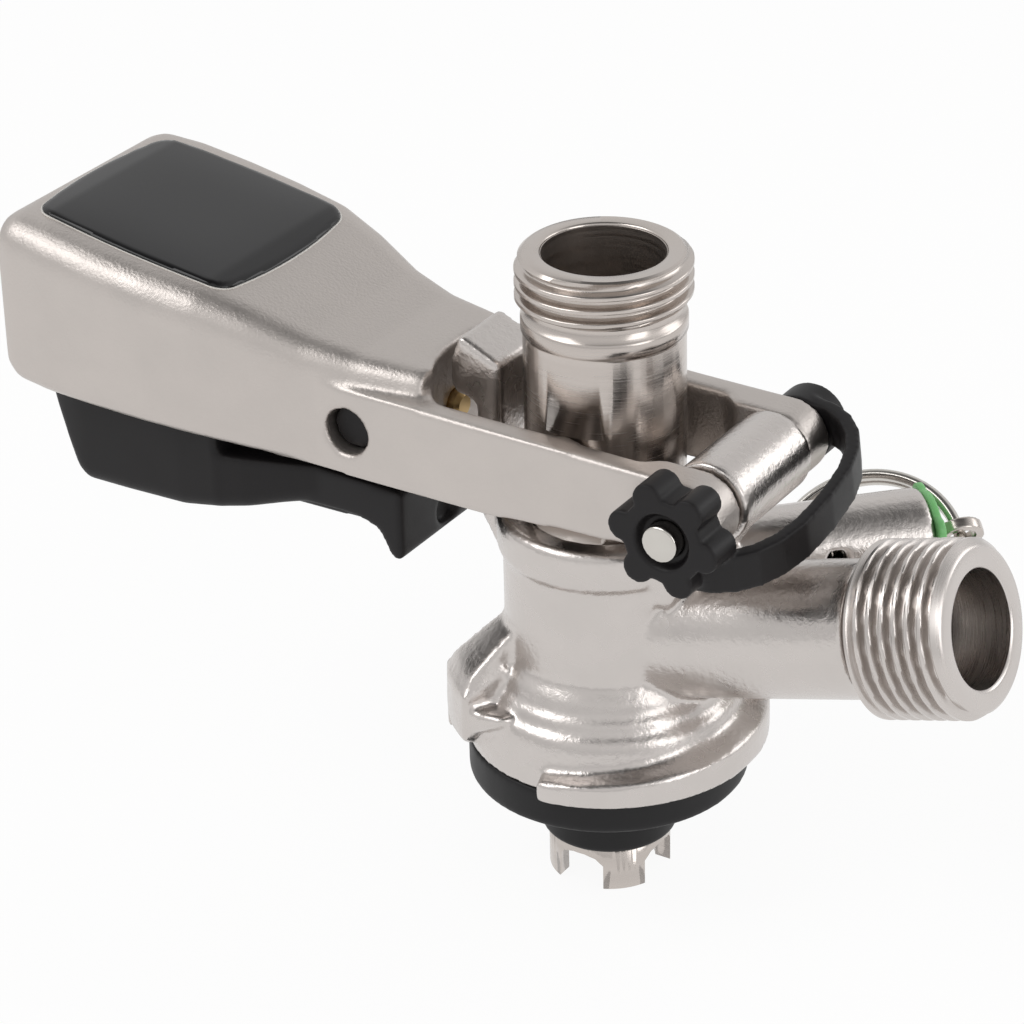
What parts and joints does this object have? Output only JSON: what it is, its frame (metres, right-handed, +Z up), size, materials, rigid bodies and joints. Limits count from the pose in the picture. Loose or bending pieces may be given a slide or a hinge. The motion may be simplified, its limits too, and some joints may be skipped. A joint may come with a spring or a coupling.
{
  "type": "keg coupler",
  "caption": "Lever-operated keg coupler with a bayonet base, threaded beer outlet, angled gas inlet and a pull-ring relief valve.",
  "frame": {"origin": "on the probe axis, in the plane where the body seal meets the keg valve", "axes": "+Z up along the probe, +X towards the gas inlet, the lever points to -X and its hinge pin lies along Y"},
  "size_m": [0.1416, 0.0607, 0.091],
  "materials": {
    "cast_stainless": "electropolished investment casting",
    "blasted_stainless": "bead-blasted matte casting",
    "turned_stainless": "turned, fine lines",
    "spring_steel": "drawn wire",
    "plated_wire": "bright plated wire",
    "bolt_brass": "plain turned",
    "black_plastic": "moulded matte",
    "green_plastic": "moulded satin",
    "white_plastic": "moulded satin",
    "badge_gloss": "domed gloss",
    "black_rubber": "moulded matte"
  },
  "bodies": {
    "base": {"body_casting": "cast_stainless", "body_seal": "black_rubber", "shaft_o_ring_lower": "black_rubber", "shaft_o_ring_upper": "black_rubber", "inlet_check_valve": "black_rubber", "inlet_valve_sleeve": "turned_stainless", "relief_cap": "green_plastic", "relief_spring": "spring_steel", "hinge_pin": "turned_stainless", "pin_keeper": "black_plastic"},
    "lever": {"handle": "blasted_stainless", "badge_inset": "badge_gloss", "latch_spring": "spring_steel"},
    "trigger": {"trigger": "black_plastic", "bolt_drive_pin": "turned_stainless"},
    "bolt": {"latch_bolt": "bolt_brass"},
    "probe": {"probe": "turned_stainless", "probe_seal": "black_rubber", "ball_retainer": "turned_stainless"},
    "ball": {"check_ball": "white_plastic"},
    "relief": {"relief_stem": "turned_stainless", "relief_seat_seal": "black_rubber"},
    "ring": {"pull_ring": "plated_wire"}
  },
  "joints": [
    {"name": "lever_hinge", "type": "hinge", "parent": "base", "child": "lever", "pos_m": [0.02, 0, 0.0488], "axis": [0, 1, 0], "range_deg": [0, 30]},
    {"name": "probe_slide", "type": "slide", "parent": "base", "child": "probe", "axis": [0, 0, 1], "range_m": [0, 0.01001]},
    {"name": "ball_lift", "type": "slide", "parent": "probe", "child": "ball", "axis": [0, 0, 1], "range_m": [0, 0.0022]},
    {"name": "trigger_pivot", "type": "hinge", "parent": "lever", "child": "trigger", "pos_m": [-0.0309, 0, 0.0486], "axis": [0, 1, 0], "range_deg": [-11, 5.7], "stiffness_Nm_per_rad": 0.02, "springref_deg": -11},
    {"name": "bolt_slide", "type": "slide", "parent": "lever", "child": "bolt", "axis": [1, 0, 0], "range_m": [-0.0013, 0.0024]},
    {"name": "relief_pull", "type": "slide", "parent": "base", "child": "relief", "axis": [0.7071, 0.7071, 0], "range_m": [0, 0.0022], "stiffness_N_per_m": 900, "springref_m": -0.003},
    {"name": "ring_swing", "type": "hinge", "parent": "relief", "child": "ring", "pos_m": [0.03451, 0.03451, 0.0283], "axis": [0.6107, -0.5802, -0.539], "range_deg": [0, 100]}
  ],
  "couplings": [
    {"joint": "probe_slide", "follows": "lever_hinge", "m_per_rad": 0.0191},
    {"joint": "bolt_slide", "follows": "trigger_pivot", "m_per_rad": -0.012}
  ]
}
